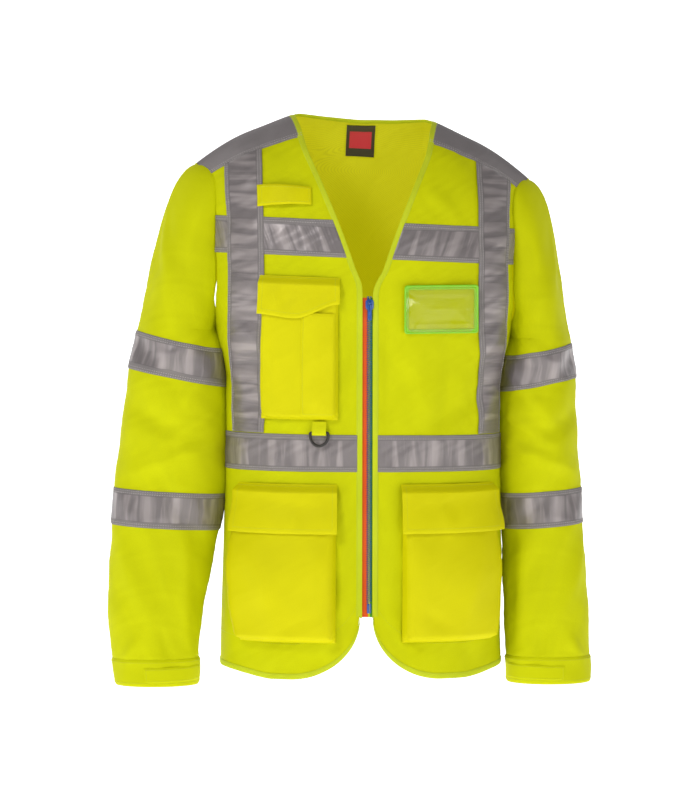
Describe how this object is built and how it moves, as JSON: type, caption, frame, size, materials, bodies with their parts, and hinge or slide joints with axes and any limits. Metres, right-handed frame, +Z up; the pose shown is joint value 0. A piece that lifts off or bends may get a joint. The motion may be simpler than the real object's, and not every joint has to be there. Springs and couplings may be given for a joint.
{
  "type": "high-visibility zip jacket",
  "caption": "Long-sleeved high-visibility work jacket with a V neck, front zip, reflective tapes, flapped pockets, badge window and ring.",
  "frame": {"origin": "on the shoulder line between the two shoulders, where a hanger, a dummy or the wearer carries the jacket", "axes": "+Z up, -Y out of the front of the jacket, +X to the wearer's left"},
  "size_m": [0.6631, 0.271, 0.7889],
  "materials": {
    "hivis_fabric": "matt woven polyester, fluorescent yellow",
    "pocket_fabric": "smooth woven polyester, a warmer fluorescent yellow",
    "yoke_fabric": "matt grey oxford",
    "reflective_tape": "silver-grey glass bead tape on a grey backing",
    "binding": "folded bias binding",
    "zip_tape_orange": "woven zip tape",
    "zip_tape_green": "woven zip tape",
    "zip_plastic": "moulded acetal",
    "zip_blue": "lacquered zinc",
    "ring_plastic": "moulded nylon",
    "webbing": "woven webbing",
    "label_fabric": "satin label, left plain",
    "badge_border": "welded soft PVC",
    "badge_window": "clear soft PVC"
  },
  "bodies": {
    "jacket": {"back_panel": "hivis_fabric", "badge_pocket_back": "hivis_fabric", "mic_tab_patch": "hivis_fabric", "chest_pocket": "pocket_fabric", "pen_pocket": "pocket_fabric", "back_chest_tape": "reflective_tape", "back_waist_tape": "reflective_tape", "back_neck_binding": "binding", "back_hem_binding": "binding", "zip_tape_right": "zip_tape_orange", "zip_tape_left": "zip_tape_green", "zip_box": "zip_blue", "zip_pin": "zip_blue", "d_ring_loop": "webbing", "neck_label": "label_fabric", "badge_pocket_border": "badge_border", "badge_pocket_window": "badge_window", "right_front_panel": "hivis_fabric", "right_upper_sleeve": "hivis_fabric", "right_shoulder_yoke": "yoke_fabric", "right_upper_sleeve_tape": "reflective_tape", "right_front_tape": "reflective_tape", "right_back_tape": "reflective_tape", "right_chest_tape": "reflective_tape", "right_waist_tape": "reflective_tape", "right_zip_facing": "binding", "right_neck_binding": "binding", "right_hem_binding": "binding", "zip_teeth_right": "zip_plastic", "zip_stop_right": "zip_plastic", "right_lower_pocket": "pocket_fabric", "left_front_panel": "hivis_fabric", "left_upper_sleeve": "hivis_fabric", "left_shoulder_yoke": "yoke_fabric", "left_upper_sleeve_tape": "reflective_tape", "left_front_tape": "reflective_tape", "left_back_tape": "reflective_tape", "left_chest_tape": "reflective_tape", "left_waist_tape": "reflective_tape", "left_zip_facing": "binding", "left_neck_binding": "binding", "left_hem_binding": "binding", "zip_teeth_left": "zip_plastic", "zip_stop_left": "zip_plastic", "left_lower_pocket": "pocket_fabric"},
    "zip_slider": {"zip_slider": "zip_blue"},
    "zip_puller": {"zip_puller": "zip_blue"},
    "d_ring": {"d_ring": "ring_plastic"},
    "chest_flap": {"chest_pocket_flap": "pocket_fabric"},
    "right_pocket_flap": {"right_pocket_flap": "pocket_fabric"},
    "left_pocket_flap": {"left_pocket_flap": "pocket_fabric"},
    "mic_tab": {"mic_tab": "hivis_fabric"},
    "right_forearm": {"right_forearm_sleeve": "hivis_fabric", "right_forearm_tape": "reflective_tape", "right_cuff": "hivis_fabric"},
    "right_cuff_tab": {"right_cuff_tab": "hivis_fabric"},
    "left_forearm": {"left_forearm_sleeve": "hivis_fabric", "left_forearm_tape": "reflective_tape", "left_cuff": "hivis_fabric"},
    "left_cuff_tab": {"left_cuff_tab": "hivis_fabric"}
  },
  "joints": [
    {"name": "zip_travel", "type": "slide", "parent": "jacket", "child": "zip_slider", "axis": [0, 0.0205, -0.9998], "range_m": [0, 0.397]},
    {"name": "puller_swing", "type": "hinge", "parent": "zip_slider", "child": "zip_puller", "pos_m": [0, -0.14265, -0.2436], "axis": [-1, 0, 0], "range_deg": [0, 170]},
    {"name": "ring_swing", "type": "hinge", "parent": "jacket", "child": "d_ring", "pos_m": [-0.06815, -0.13601, -0.4194], "axis": [-0.9865, 0.1639, 0.0032], "range_deg": [0, 120]},
    {"name": "chest_flap_lift", "type": "hinge", "parent": "jacket", "child": "chest_flap", "pos_m": [-0.095, -0.1365, -0.2076], "axis": [-0.9743, 0.2218, 0.04], "range_deg": [0, 120]},
    {"name": "right_flap_lift", "type": "hinge", "parent": "jacket", "child": "right_pocket_flap", "pos_m": [-0.12, -0.1213, -0.4896], "axis": [-0.8638, 0.5039, 0], "range_deg": [0, 90]},
    {"name": "left_flap_lift", "type": "hinge", "parent": "jacket", "child": "left_pocket_flap", "pos_m": [0.12, -0.1213, -0.4904], "axis": [-0.8638, -0.5039, 0], "range_deg": [0, 90]},
    {"name": "mic_tab_peel", "type": "hinge", "parent": "jacket", "child": "mic_tab", "pos_m": [-0.1504, -0.0945, -0.0984], "axis": [0, -0.3419, -0.9397], "range_deg": [0, 100]},
    {"name": "right_elbow", "type": "hinge", "parent": "jacket", "child": "right_forearm", "pos_m": [-0.264, -0.064, -0.446], "axis": [-0.9539, 0.3, 0], "range_deg": [0, 70]},
    {"name": "right_cuff_peel", "type": "hinge", "parent": "right_forearm", "child": "right_cuff_tab", "pos_m": [-0.229, -0.0325, -0.755], "axis": [0, 0, 1], "range_deg": [0, 85]},
    {"name": "left_elbow", "type": "hinge", "parent": "jacket", "child": "left_forearm", "pos_m": [0.244, -0.07, -0.446], "axis": [-0.9539, -0.3, 0], "range_deg": [0, 70]},
    {"name": "left_cuff_peel", "type": "hinge", "parent": "left_forearm", "child": "left_cuff_tab", "pos_m": [0.1995, -0.033, -0.755], "axis": [0, 0, -1], "range_deg": [0, 85]}
  ]
}
